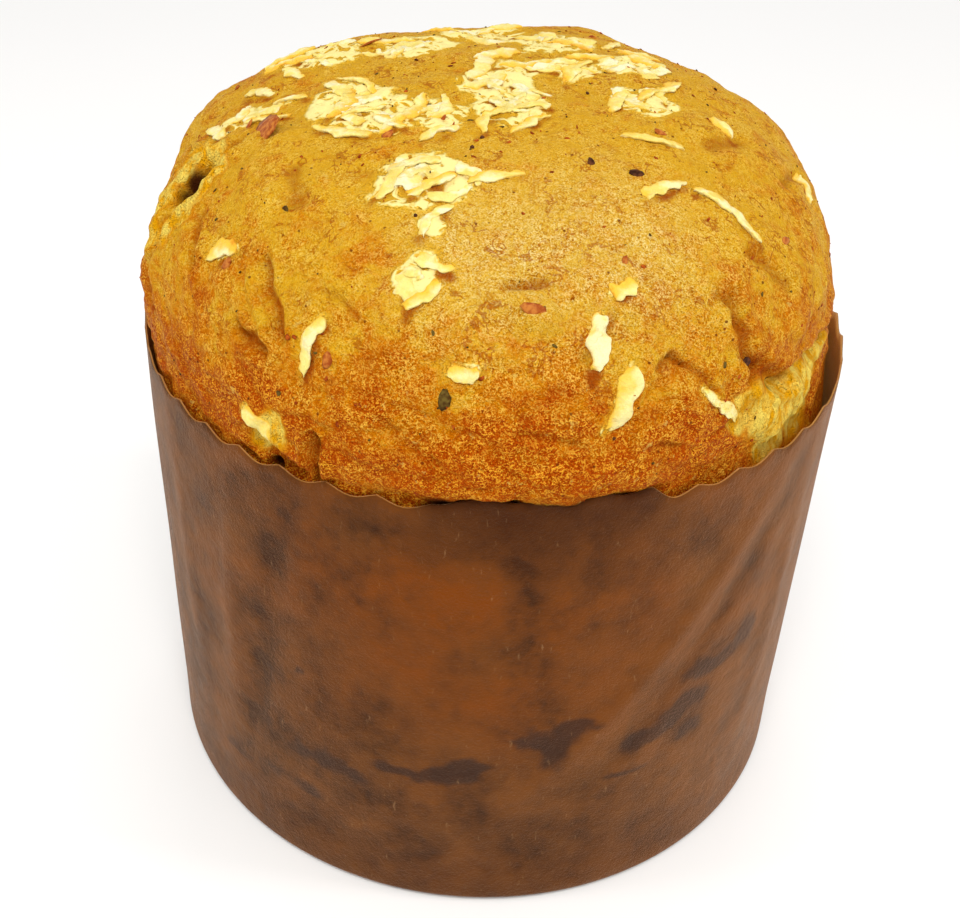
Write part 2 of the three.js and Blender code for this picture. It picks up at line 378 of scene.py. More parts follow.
def crustFinish():
    finish = Finish("golden crust")
    marks = ("brown", "pale", "torn", "melt", "toast", "foldBrownAndShade", "paintedShade")
    brown, pale, torn, melt, toast, foldBrownAndShade, paintedShade = (finish.painted(mark) for mark in marks)
    broad = finish.noise(13, 4, 0.6)
    patches = finish.noise(4.0, 4, 0.65, warp=0.6)
    # how dark the crust is: the brown mark (partly browner crust, partly painted shade) with broad and
    # patchy noise
    dark = (brown + (broad - 0.5) * 1.4 + (patches - 0.5) * 1.8).limit()
    colour = finish.layers(
        finish.blend(dark.above(0, 0.6), crust["gold"], crust["orange"]), crust,
        ("brown", dark.above(0.45, 1.0)),
        # painted highlight in the middle of the front
        ("pale", pale * (1 - dark) * 0.8),
        ("rust", finish.noise(6, 4, 0.65, warp=1.5).above(0.52, 0.70) * (0.4 + dark * 0.45)),
        ("rosy", finish.noise(9, 3, 0.6, warp=1).above(0.60, 0.75) * 0.3),
    )
    # painted highlights on fine blisters and curly wrinkles, with orange-brown gaps between them that are
    # partly painted shade
    fine = finish.noise(0.30, 2, 0.6)
    middling = finish.noise(0.8, 3, 0.6)
    curl = 1 - finish.noise(1.1, 3, 0.55, warp=0.5).offLines(19)
    strong = (finish.noise(5, 3, 0.6).above(0.35, 0.65) * 0.50 + 0.24 + dark * 0.34 + pale * 0.25).limit()
    grains = (fine - 0.5) * 2.6 + (middling - 0.5) * 1.1 + curl * 0.34
    glints = grains.above(0, 0.58) * strong
    gaps = (1 - grains.above(-0.50, -0.02)) * strong
    pits = (1 - middling.above(0.27, 0.37)) * strong
    tone = finish.blend(dark, crust["glint"], crust["brownGlint"])
    tone = finish.blend(pale * 0.8, tone, crust["paleGlint"])
    colour = finish.blend(glints, colour, tone)
    colour = finish.blend(gaps, colour, finish.blend(dark, crust["gap"], crust["brownGap"]))
    # thin rust-brown veins, small pale blotches, tiny specks of spice and rust-brown folds, partly painted
    # shade
    vein = 1 - finish.noise(4.2, 3, 0.6, warp=0.4).offLines(34)
    blotch = finish.noise(1.9, 3, 0.6).above(0.64, 0.70) * finish.noise(7, 2).above(0.42, 0.55)
    spice = (1 - finish.cells(2.2).above(0.07, 0.15)) * finish.noise(2.6, 2).above(0.48, 0.54)
    colour = finish.layers(
        colour, crust,
        ("pit", pits * 0.8),
        ("vein", vein * finish.noise(5.5, 2, 0.5).above(0.52, 0.62) * 0.6),
        ("blotch", blotch * 0.5),
        ("spice", spice * 0.85),
        ("foldBrownAndShade", (foldBrownAndShade * (0.5 + patches)).limit() * 0.75),
    )
    # yellow crumb where the crust is torn
    strings = finish.noise(2.0, 4, 0.65, finish.stretched((1, 1, 0.3), (0.5, 0.3, 0.2)))
    crumb = finish.blend(strings.above(0.40, 0.60), crust["crumb"], crust["paleCrumb"])
    crumb = finish.blend(broad.above(0.52, 0.64) * 0.5, crumb, crust["deepCrumb"])
    crumb = finish.blend(torn.above(0.2, 0.7), crust["crumbEdge"], crumb)
    colour = finish.blend(torn.above(0, 0.5), colour, crumb)
    # a lace of cheese that melted into the crust
    wide = finish.noise(7.5, 3, 0.55, warp=1.2).offLines(10)
    thin = finish.noise(4.4, 3, 0.55, warp=1.0).offLines(11)
    lace = 1 - wide * thin
    lace = lace * (melt + (finish.noise(2.5, 3, 0.6) - 0.5) * 0.9).above(0.38, 0.7)
    colour = finish.blend(melt.above(0.05, 0.7) * 0.7, colour, crust["soaked"])
    cheese = finish.blend(lace.above(0.45, 0.95), crust["cheese"], crust["paleCheese"])
    colour = finish.blend(lace.above(0.10, 0.60) * 0.9, colour, cheese)
    # the browned side under each shred, partly painted shadow, then painted shade in the holes and under
    # the lip
    colour = finish.layers(colour, crust, ("toast", toast * 0.9), ("paintedShade", paintedShade))
    height = (fine * 0.5 + grains * 0.2) * (1 - lace * 0.8) + (patches - 0.5) * 0.7
    bump = finish.bump(height, 0.75, 1.0)
    bump = finish.bump(lace, 0.9, 0.8, bump)
    bump = finish.bump(strings * torn, 1.4, 0.9, bump)
    return finish.wear({
        "Base Color": colour,
        "Roughness": 0.36 + fine * 0.25,
        "Normal": bump,
        "Specular IOR Level": 0.02,
    })


cheeseTints = {
    "cream": (0.78, 0.58, 0.120),
    "lemon": (0.82, 0.69, 0.220),
    "core": (0.83, 0.77, 0.46),
    "golden": (0.80, 0.49, 0.045),
    "browned": (0.66, 0.25, 0.006),
}


def cheeseFinish():
    finish = Finish("baked cheese")
    soft = finish.noise(2.5, 3, 0.6).above(0.35, 0.65)
    # golden where it is baked in, browned at the ends
    cooked = finish.painted("toast") + (finish.noise(1.6, 3) - 0.5) * 0.7
    colour = finish.layers(
        finish.blend(soft, cheeseTints["cream"], cheeseTints["lemon"]), cheeseTints,
        ("core", finish.noise(4.5, 3, 0.6).above(0.45, 0.60) * finish.painted("milky")),
        ("golden", cooked.above(0.32, 0.85)),
        ("browned", cooked.above(0.85, 1.25)),
    )
    height = finish.noise(0.9, 3, 0.6) + finish.noise(2.4, 2, 0.5)
    return finish.wear({
        "Base Color": colour,
        "Roughness": 0.36 + soft * 0.15,
        "Normal": finish.bump(height, 0.6, 0.8),
        "Specular IOR Level": 0.12,
        "Subsurface Weight": 0.15,
        "Subsurface Radius": (0.002, 0.0014, 0.0006),
        "Subsurface Scale": 1.0,
    })


paper = {
    "dark": (0.035, 0.011, 0.002),
    "light": (0.156, 0.055, 0.011),
    "warm": (0.190, 0.043, 0),
    "shade": (0.066, 0.014, 0),
    "stain": (0.026, 0.013, 0.010),
    "fibre": (0.42, 0.24, 0.11),
    # the lining, with painted light shining through the paper
    "inside": (0.60, 0.27, 0.035),
    "insideLight": (0.80, 0.42, 0.075),
    # a painted highlight along the rim
    "edge": (0.50, 0.26, 0.10),
    "sheen": (1.0, 0.54, 0.26),
}


def paperFinish():
    finish = Finish("brown case paper")
    marks = ("glow", "stain", "inside", "edge", "shade", "paintedLightAndShade")
    glow, stain, inside, edge, shade, paintedLightAndShade = (finish.painted(mark) for mark in marks)
    mottle = finish.noise(10, 5, 0.62)
    cloud = finish.noise(3.2, 4, 0.6)
    tone = 0.5 + (mottle - 0.5) * 2.4 + (cloud - 0.5) * 0.8
    # painted light and shade shift the tone
    tone = (tone + (paintedLightAndShade - 0.5) * 0.7).limit()
    blot = (stain + (finish.noise(2.8, 3, 0.6) - 0.5) * 0.5).above(0.22, 0.78)
    fibres = finish.noise(0.8, 3, 0.6, finish.stretched((1, 1, 0.25), (0.4, 0.2, 0.3)))
    colour = finish.layers(
        finish.blend(tone, paper["dark"], paper["light"]), paper,
        ("warm", (glow * (0.20 + tone * 1.2)).limit()),
        ("shade", shade * 0.65),
        ("stain", blot * stain.above(0, 0.2) * 0.75),
        ("fibre", fibres.above(0.64, 0.78) * 0.35),
    )
    # the lining, lighter with painted light shining through the paper
    lining = finish.blend(tone, paper["inside"], paper["insideLight"])
    colour = finish.blend(inside * 0.9, colour, lining)
    # painted highlight along the rim
    colour = finish.blend(edge * 0.8, colour, paper["edge"])
    height = finish.noise(0.5, 4, 0.7) * 0.25 + mottle * 0.75
    return finish.wear({
        "Base Color": colour,
        "Roughness": 0.40 + (cloud - 0.5) * 0.3,
        "Normal": finish.bump(height, 1.6, 0.8),
        "Specular IOR Level": 0.06,
        "Sheen Weight": 0.34,
        "Sheen Roughness": 0.25,
        "Sheen Tint": paper["sheen"],
    })


def baseFinish():
    finish = Finish("base board")
    fibres = finish.noise(1.4, 4, 0.6, finish.stretched((1, 0.3, 1)))
    colour = finish.blend(fibres, (0.17, 0.075, 0.032), (0.25, 0.12, 0.058))
    return finish.wear({"Base Color": colour, "Roughness": 0.75, "Normal": finish.bump(fibres, 0.2, 0.5)})


def flakeFinish(name, dark, light, roughness):
    finish = Finish(name)
    colour = finish.blend(finish.noise(0.8, 3).above(0.35, 0.65), dark, light)
    return finish.wear({
        "Base Color": colour,
        "Roughness": roughness,
        "Normal": finish.bump(finish.noise(0.5), 0.15, 0.6),
        "Specular IOR Level": 0.04,
    })


def floorFinish():
    finish = Finish("pale floor")
    tone = finish.blend(finish.noise(300, 2), (0.93, 0.93, 0.93), (0.95, 0.95, 0.95))
    return finish.wear({"Base Color": tone, "Roughness": 0.8, "Specular IOR Level": 0.2})


loaf = {
    "wall": 66.0,  # radius in the case
    "shoulder": 84.0,  # where it draws in from the paper
    "plainNeck": 64.8,
    "neck": 65.7,  # radius at the rim, less these gaps
    "rightGap": 2.2,
    "leftGap": 1.2,
    "lip": 99.0,  # nothing reaches over the rim below this
    "right": 62.2,  # half-widths of the crown
    "back": 65.4,
    "left": 64.6,
    "front": 69.3,
    "bulgeHeight": 104.5,
    "crown": 37.6,
    "top": 142.1,
    "fullness": 2.7,
    "lean": (0.5, 1.2),
    "cuts": 40,  # squares across one face of the starting cube
    "neckHeights": (101.5, 99.3, 97.6, 95.0, 84.0, 3.0),
    "foot": 63.5,  # radii of the two rings underneath
    "under": 57.0,
}

# swellings and hollows: bearing, tilt, reach and lift in mm
swells = [
    (-66, 80, 12, 0.8), (-85, 62, 9, 0.8), (-10, 70, 22, -0.4), (-152, 78, 22, 1.0), (152, 54, 30, 0.6),
    (166, 63, 15, 1.9), (-177, 66, 12, -1.6), (-169, 61, 7, 1.0), (-128, 60, 22, 0.7),
    (-75, 40, 22, 0.7), (45, 58, 34, -1.2), (72, 50, 22, 2.4), (98, 38, 22, -1.8), (100, 74, 22, -0.9),
]

# cracks and folds: from, to, reach and lift in mm
creases = [
    ((-159.5, 53), (-157.5, 58), 3.5, -1.6), ((-158, 58), (-157.5, 64), 4.6, -2.8),
    ((-157, 64), (-155.5, 70), 3.5, -1.8), ((-155.5, 70), (-154, 80), 3.0, -1.0),
    ((-56.7, 62.8), (-54.3, 64.2), 2.4, -0.8), ((-54.3, 64.2), (-54.5, 67.5), 2.6, -0.9),
    ((-54.5, 67.5), (-51.5, 74), 3.0, -1.3), ((-54, 68), (-42, 72), 5, 0.6),
    ((-42, 72), (-24, 70), 5, 0.6), ((-51.5, 75), (-42.5, 79.5), 3.0, -1.7),
    ((-42.5, 79.5), (-24, 80), 3.0, -1.7), ((-24, 80), (-8, 81), 3.0, -1.2),
    ((-46, 84), (-34, 86), 7, 1.4), ((-68.4, 70), (-66.4, 68.9), 1.0, -0.9),
    ((-66.4, 68.9), (-63.4, 70.8), 1.0, -1.0), ((-63.4, 70.8), (-59.3, 75), 1.0, -0.8),
    ((-59.3, 75), (-54, 80.5), 1.4, 0.7), ((-66, 73), (-62, 77), 4, 0.7),
    ((-124, 86), (-118, 89), 4, -2.0), ((-113.2, 82), (-114.3, 92), 1.8, -2.4),
    ((-129.6, 63.4), (-122, 70.6), 2.0, 1.1), ((-127, 62), (-119.5, 70), 1.8, -1.2),
    ((-128, 71.5), (-122, 73), 2.0, -1.5), ((-115, 63), (-109, 66), 1.2, -0.6),
    ((-104, 77), (-97, 82), 1.6, -0.5), ((-86, 77), (-78, 79), 1.6, -0.5),
    ((-70, 80), (-62, 83), 1.6, -0.5), ((-79, 68), (-74, 64), 1.6, -0.7),
    ((-89, 60), (-84, 58.5), 2.0, -1.0), ((-86, 63), (-83, 63), 3.0, 0.9),
    ((-30, 44), (-18, 47), 3, -0.8), ((-46, 60), (-40, 66), 2.4, -0.8),
    ((-20, 56), (-8, 58), 2.4, -0.9), ((-137, 50), (-128, 54), 3, -0.7),
    ((-148, 62), (-142, 68), 2.4, -0.9), ((38, 66), (62, 76), 6, -3.6), ((62, 76), (74, 84), 4, -2.2),
    ((40, 62), (62, 71), 4, 1.2), ((118, 62), (132, 72), 6, -3.6), ((84, 80), (96, 84), 3, -1.4),
    ((150, 76), (160, 82), 3, -1.6), ((2, 74), (16, 78), 3, -1.4), ((20, 60), (30, 66), 3, -1.2),
    ((170, 66), (178, 74), 3, -1.2),
]

# zones where the crust is torn and the yellow crumb shows: place and reach in mm
tears = [
    ((-52, 80), 6), ((-46, 83), 8), ((-38, 84), 8), ((-30, 83), 7), ((-24, 82), 4.5), ((-43, 89), 7),
    ((-34, 89), 7), ((-120, 83), 4.5), ((-123, 86), 4), ((-154.5, 57), 3.8), ((-153, 60.5), 3.9),
    ((-152.5, 64), 4.1), ((-154, 68), 4.4), ((-163, 57), 4.4), ((-164, 61.5), 4.8), ((-163, 66.5), 5),
    ((-160, 71), 4.8), ((-168, 57), 4), ((46, 71), 7), ((55, 74), 8), ((122, 66), 7), ((130, 71), 7.5),
]


def toward(bearing, tilt):
    b, t = math.radians(bearing), math.radians(tilt)
    return Vector((math.sin(t) * math.cos(b), math.sin(t) * math.sin(b), math.cos(t)))


def crownReach(x, y):
    # quarter ellipses between the four half-widths
    across = loaf["right"] if x > 0 else loaf["left"]
    along = loaf["back"] if y > 0 else loaf["front"]
    flat = math.hypot(x, y)
    return 1 / math.hypot(x / flat / across, y / flat / along) if flat > 1e-6 else across


def neckRadius(x, y):
    # close against the paper, but standing off it at the right and a little at the left
    bearing = math.degrees(math.atan2(y, x))
    right = bell(bearing + 8, 36)
    left = bell(abs(bearing) - 180, 30)
    return loaf["neck"] - loaf["rightGap"] * right - loaf["leftGap"] * left


def plainRadius(z, reach, neck):
    rise = (z - loaf["bulgeHeight"]) / loaf["crown"]
    if rise >= 0:
        return reach * max(0, 1 - rise ** loaf["fullness"]) ** (1 / loaf["fullness"])
    if z > rim:
        drop = (loaf["bulgeHeight"] - z) / (loaf["bulgeHeight"] - rim)
        return reach - (reach - neck) * drop * drop
    up = min(1, max(0, (z - loaf["shoulder"]) / (rim - loaf["shoulder"])))
    return loaf["wall"] - (loaf["wall"] - neck) * up * up * (3 - 2 * up)


def plainPoint(way):
    # the point of the plain loaf in a direction, by halving
    near, far = 0.0, 140.0
    flat = math.hypot(way.x, way.y)
    reach = crownReach(way.x, way.y)
    for _ in range(40):
        half = (near + far) / 2
        level = rim + half * way.z
        if half * flat < plainRadius(level, reach, loaf["plainNeck"]) and level < loaf["top"]:
            near = half
        else:
            far = half
    return middle + way * near


def startLoaf():
    # a cube's upper half, rounded to the crown, then drawn down into the case
    piece = addShape("loaf", bpy.ops.mesh.primitive_cube_add, size=2)
    startEdit(piece)
    bpy.ops.mesh.subdivide(number_cuts=loaf["cuts"] - 1)
    bpy.ops.mesh.bisect(plane_co=(0, 0, 0), plane_no=(0, 0, 1), clear_inner=True)
    bpy.ops.object.mode_set(mode="OBJECT")
    co = np.tan(points(piece) * math.pi / 4)
    co /= np.linalg.norm(co, axis=1)[:, None]
    n = loaf["fullness"]
    flat = np.hypot(co[:, 0], co[:, 1])
    out = (flat**n + np.abs(co[:, 2]) ** n) ** (-1 / n)
    reach = np.array([crownReach(x, y) for x, y, _ in co])
    co[:, 0] *= out * reach
    co[:, 1] *= out * reach
    co[:, 2] = loaf["bulgeHeight"] + co[:, 2] * out * loaf["crown"]
    setPoints(piece, co)
    level = loaf["bulgeHeight"]
    floor = breadLow.z
    for height in (*loaf["neckHeights"], floor):
        editOnly(piece, lambda co: abs(co.z - level) < 1e-3)
        bpy.ops.mesh.select_mode(type="EDGE")
        bpy.ops.mesh.extrude_edges_move(TRANSFORM_OT_translate={"value": (0, 0, height - level)})
        level = height
    inward = 1 - 2.2 / loaf["wall"]
    bpy.ops.transform.resize(value=(inward, inward, 1), center_override=(0, 0, floor))
    bpy.ops.mesh.extrude_edges_move()
    bpy.ops.transform.resize(value=(0.9, 0.9, 1), center_override=(0, 0, floor))
    bpy.ops.mesh.edge_face_add()
    endEdit()
    co = points(piece)
    for i, (x, y, z) in enumerate(co):
        if z < loaf["bulgeHeight"] - 0.01 and z > floor + 0.1:
            wanted = plainRadius(z, crownReach(x, y), neckRadius(x, y)) / math.hypot(x, y)
            co[i, 0] = x * wanted
            co[i, 1] = y * wanted
    low = co[:, 2] <= floor + 0.1
    radius = np.hypot(co[low, 0], co[low, 1])
    ring = np.where(radius > 61, loaf["foot"], np.where(radius > 50, loaf["under"], radius))
    co[low, :2] *= (ring / np.maximum(radius, 1e-9))[:, None]
    setPoints(piece, co)
    return piece


def swellLoaf(piece):
    # proportional edits, one for each swelling or hollow
    for bearing, tilt, reach, lift in swells:
        place = plainPoint(toward(bearing, tilt))
        nearest = min(piece.data.vertices, key=lambda vertex: (vertex.co - place).length).index
        editOnly(piece, lambda co: False)
        bpy.ops.object.mode_set(mode="OBJECT")
        piece.data.vertices[nearest].select = True
        bpy.ops.object.mode_set(mode="EDIT")
        bpy.ops.transform.translate(
            value=(place - middle).normalized() * lift,
            use_proportional_edit=True,
            proportional_edit_falloff="SMOOTH",
            proportional_size=reach,
        )
        bpy.ops.object.mode_set(mode="OBJECT")


def segmentDistance(co, start, end):
    start, end = np.array(start), np.array(end)
    line = end - start
    share = np.clip(((co - start) @ line) / (line @ line), 0, 1)
    return np.linalg.norm(co - start - share[:, None] * line, axis=1)


# deep holes: place, reach and depth in mm
holes = [
    ((-158.4, 58.6), 3.2, 0.8), ((-158.8, 61), 4.2, 1.4), ((-158.4, 63.4), 3.4, 1.0),
    ((-121.6, 91), 2.6, 2.8), ((-52.5, 75), 1.8, 1.4), ((-45, 79), 1.8, 1.2), ((126, 68), 2.6, 2.4),
    ((50, 73), 2.4, 2.0),
]


def seenFrom(co):
    # direction and distance of each point from the middle of the rim
    away = co - np.array(middle)
    far = np.linalg.norm(away, axis=1)
    return away / far[:, None], far


def crownDistance(ways, far, start, end):
    # mm over the crust from a line between two places on the crown
    start, end = np.array(toward(*start)), np.array(toward(*end))
    line = end - start
    share = np.clip((ways - start) @ line / max(line @ line, 1e-9), 0, 1)
    return np.linalg.norm(ways - start - share[:, None] * line, axis=1) * far


def roughenLoaf(piece):
    co = points(piece)
    out = normals(piece)
    above = smooth((co[:, 2] - 88) / 14)
    bearing, tilt = bearings(co)
    # rougher low down at the front and left, smooth at the upper right
    rough = 0.55 + 0.9 * smooth((tilt - 45) / 35) * (0.5 + 0.5 * np.cos(np.radians(bearing + 105)))
    lift = (1.0 * grain(co, 21, 1) + 0.8 * grain(co, 9, 2)) * above
    lift += (0.42 * grain(co, 3.6, 3) + 0.26 * grain(co, 1.6, 4)) * rough * above
    # wrinkles that run round the loaf
    flowing = co * (0.55, 0.55, 1.0)
    wrinkle = 1 - 3 * np.abs(grain(flowing + 1.5 * grain(co, 7, 9)[:, None], 5.5, 10))
    lift -= 0.55 * smooth(wrinkle) * smooth(rough - 0.55) * above
    wobble = shifts(co, 4, (5, 6, 7), 1.3)
    ways, far = seenFrom(co + wobble)
    # rust-brown in the deeper creases, partly painted shade
    foldBrownAndShade = np.zeros(len(co))
    for start, end, reach, depth in creases:
        distance = crownDistance(ways, far, start, end)
        lift += depth * smooth(1 - distance / reach) ** 1.5
        lift -= 0.22 * depth * smooth(1 - np.abs(distance - reach) / (0.7 * reach))
        foldBrownAndShade = np.maximum(foldBrownAndShade, min(1, -depth / 1.2) * smooth(1.1 - 1.6 * distance / reach))
    torn = np.zeros(len(co))
    for place, reach in tears:
        distance = crownDistance(ways, far, place, place)
        torn = np.maximum(torn, smooth(1.6 * (1 - distance / reach)))
    strings = grain(co * (1, 1, 0.4), 1.9, 8)
    lift += torn * (0.9 * strings - 0.3)
    # painted shade in the deep holes
    paintedShade = np.zeros(len(co))
    for place, reach, depth in holes:
        distance = crownDistance(*seenFrom(co + 0.5 * wobble), place, place)
        lift -= depth * smooth(1 - distance / reach)
        paintedShade = np.maximum(paintedShade, smooth(1.8 * (1 - distance / (0.75 * reach))))
    co += out * lift[:, None]
    # the front lip sags over the rim
    front = smooth(1 - np.abs(turnFrom(-84, bearing)) / 30)
    low = smooth((112 - co[:, 2]) / 8) * smooth((co[:, 2] - 100) / 2.5)
    co[:, 2] -= (0.2 + 0.9 * grain(co, 3.2, 11) + 0.5 * grain(co, 1.3, 12)) * front * low
    co[:, :2] *= (1 + 0.015 * front * low)[:, None]
    top = smooth((co[:, 2] - loaf["bulgeHeight"]) / loaf["crown"])
    co[:, 0] += loaf["lean"][0] * top
    co[:, 1] += loaf["lean"][1] * top
    flat = np.hypot(co[:, 0], co[:, 1])
    inside = (co[:, 2] < loaf["lip"]) & (flat > loaf["wall"])
    co[inside, :2] *= (loaf["wall"] / flat[inside])[:, None]
    setPoints(piece, co)
    paint(piece, "torn", torn)
    paint(piece, "foldBrownAndShade", foldBrownAndShade * (1 - 0.7 * torn))
    # painted shade under the lip, where it covers the rim
    under = smooth((100.6 - co[:, 2]) / 1.2) * smooth((bearing + 101) / 5) * smooth((-66 - bearing) / 5)
    paint(piece, "paintedShade", np.maximum(paintedShade, under))


def bearings(co):
    # bearing and tilt of each point, in degrees
    tilt = np.degrees(np.arctan2(np.hypot(co[:, 0], co[:, 1]), co[:, 2] - rim))
    return np.degrees(np.arctan2(co[:, 1], co[:, 0])), tilt


def makeLoaf():
    piece = startLoaf()
    swellLoaf(piece)
    applyModifier(piece, "smooth", "SUBSURF", levels=2, render_levels=2)
    roughenLoaf(piece)
    # browner down the sides, most of all low at the front and left: partly browner crust, partly painted
    # shade where less light falls
    bearing, tilt = bearings(points(piece))
    facing = 0.5 + 0.5 * np.cos(np.radians(bearing + 105))
    low = smooth((tilt - 63) / 26) * (0.35 + 0.65 * facing)
    paint(piece, "brown", 0.24 * smooth((tilt - 28) / 50) + 0.95 * low)
    # a painted highlight in the middle of the front
    ways, far = seenFrom(points(piece))
    paint(piece, "pale", bell(crownDistance(ways, far, (-92, 54), (-68, 54)), 13))
    return piece


shredding = {
    "flake": (14, 4),  # squares along and across one shred
    "scrap": (9, 3),  # and across one scrap of a heap
    "rise": 0.75,  # mm that the free side of a shred stands up
    "behind": 16,  # shreds at the back
    "behindRise": 0.7,
    "spread": 0.5,  # share of a heap's reach
}

# shreds: place of the middle, turn of the long side from level, length and width in mm
shreds = [
    ((176, 49), 56, 7, 2.2), ((-173, 43), 72, 6, 1.8), ((-170, 35), 21, 11, 2.8),
    ((-174, 31), 35, 11, 2.4), ((-159, 35), 146, 11, 2.2), ((-147, 33), 83, 7, 2.2),
    ((-141, 39), 17, 12, 2.2), ((-133, 32), 6, 7, 2), ((-130, 32), 98, 7, 2),
    ((-137, 25), 128, 10, 2.4), ((-128, 22), 117, 9, 2), ((-114, 31), 58, 7, 2),
    ((140, 9), 30, 12, 3.2), ((98, 16), 40, 11, 2.4), ((66, 11), 60, 12, 2.4), ((-147, 6), 100, 9, 2.2),
    ((-96, 23), 81, 10, 2.4), ((-77, 18), 5, 9, 2), ((-78, 24), 38, 9, 2), ((24, 17), -41, 12, 2.8),
    ((42, 24), 34, 8, 2.2), ((30, 34), -5, 10, 3.2), ((40, 38), 50, 8, 3), ((-23, 25), 5, 9, 2.2),
    ((-3, 31), -31, 12, 2.2), ((-41, 37), -50, 10, 2), ((-15, 43), 60, 5, 2.6), ((-54, 47), 8, 9, 2.2),
    ((-45, 51), -58, 7, 2.2), ((-42, 56), -77, 7, 2), ((-9, 61), 27, 7, 1.8), ((-116, 45), 87, 8, 2.4),
    ((-112, 41), 28, 8, 2.2), ((-106, 44), 40, 8, 2), ((-91, 41), 18, 9, 1.8), ((-101, 61), 54, 6, 2.2),
    ((-100, 57), -10, 6, 2.2), ((-137, 64), 19, 6, 3), ((-115, 70), -104, 9, 2.4),
    ((-94, 69), 14, 4.5, 2.6), ((-71, 60), 22, 4.5, 2.6), ((-76, 66), -100, 8, 2.6),
    ((-74, 73), -116, 10, 3.2), ((-58, 77), -43, 11, 1.8), ((-123, 84), -50, 7, 2.8),
    ((-172, 56), 22, 11, 2), ((-166, 47), 60, 8, 1.8),
]

# heaps of melted cheese: place, reach in mm, number of small scraps
heaps = [
    ((-160, 33), 6, 3), ((-141, 32), 6, 4), ((-125, 26), 5, 3), ((-110, 6), 6, 5), ((-86, 17), 6, 5),
    ((60, 8), 5, 3), ((-111, 44.5), 5.5, 4), ((-103, 42.5), 4, 2), ((-102, 51), 2.4, 1),
    ((-102, 59), 3.6, 2), ((23, 30), 5, 4), ((-16, 29), 5, 4), ((32, 17), 5, 3), ((155, 43), 6, 4),
    ((-172, 52), 4, 3), ((133, 29), 6, 3), ((100, 38), 8, 4), ((70, 32), 7, 4), ((112, 62), 5, 2),
]


def crownSpot(tree, way):
    # where a ray from the middle of the rim meets the crust, and the way it faces there
    spot, face, _, _ = tree.ray_cast(middle + way * 20, way)
    return spot, face


def scrapTemplate(long, wide):
    # a thin block cut into long x wide squares, as points and faces
    block = addShape("scrap", bpy.ops.mesh.primitive_cube_add, size=1)
    bpy.ops.object.mode_set(mode="EDIT")
    for squares, side in ((long, Vector((1, 0, 0))), (wide, Vector((0, 1, 0)))):
        for cut in range(1, squares):
            bpy.ops.mesh.select_all(action="SELECT")
            bpy.ops.mesh.bisect(plane_co=side * (cut / squares - 0.5), plane_no=side)
    bpy.ops.object.mode_set(mode="OBJECT")
    vertices = [vertex.co.copy() for vertex in block.data.vertices]
    faces = [tuple(face.vertices) for face in block.data.polygons]
    bpy.data.objects.remove(block)
    return vertices, faces


def turnedSides(out, turn):
    # directions along and across something that lies on the crown, turned from level
    level = Vector((-out.y, out.x, 0)).normalized()
    along = Matrix.Rotation(math.radians(turn), 3, out) @ level
    return along, out.cross(along)


def layShred(tree, template, place, turn, length, width, rise, lobes, rng):
    # a ragged flake, baked in on its uphill side and standing up on the other
    out = toward(*place)
    along, across = turnedSides(out, turn)
    if across.z > 0:
        across = -across
        along = -along
    centre, _ = crownSpot(tree, out)
    bend, wave = rng.uniform(-0.5, 0.5), rng.uniform(0, 6)
    seed = rng.uniform(0, 90)
    blunt = rng.uniform(0.2, 0.9)
    made, toast = [], []
    for x, y, z in template:
        end = abs(x) * 2
        tip = end ** 3 * (blunt if x > 0 else 1.1 - blunt)
        side = 1 if y > 0 else -1
        ragged = 1.05 + 0.9 * noise.noise(Vector((x * length * 0.4, side * 9, seed)))
        ragged += lobes * noise.noise(Vector((x * length * 1.0, side * 5, seed + 7)))
        shift = y * width * (1 - 0.8 * tip) * ragged
        shift += bend * width * math.cos(x * 3) + 0.3 * math.sin(x * 5 + wave)
        crooked = 0.35 * noise.noise(Vector((y * 3, seed, 3)))
        spot = centre + along * ((x + crooked * end * 0.4) * length) + across * shift
        skin, face = crownSpot(tree, (spot - middle).normalized())
        stand = 0.5 + 0.5 * noise.noise(Vector((x * 3.5, seed, 1)))
        height = 0.12 + rise * (0.25 + 0.9 * (y + 0.5) ** 1.4 * stand) * (1 - 0.75 * tip)
        height += 0.16 * noise.noise(Vector((x * length * 0.8, y * 3, seed)))
        if z < 0:
            height -= 0.30 + 0.25 * rise
            if y < 0.45:
                height = min(height, -0.3)
        made.append(skin + face * height)
        toast.append((0.5 - y) * 0.75 + 0.35 * end ** 3 + (0.2 if z < 0 else 0))
    cooked = rng.random()
    return made, [value * (0.7 + 0.5 * cooked) + 0.2 * cooked for value in toast]


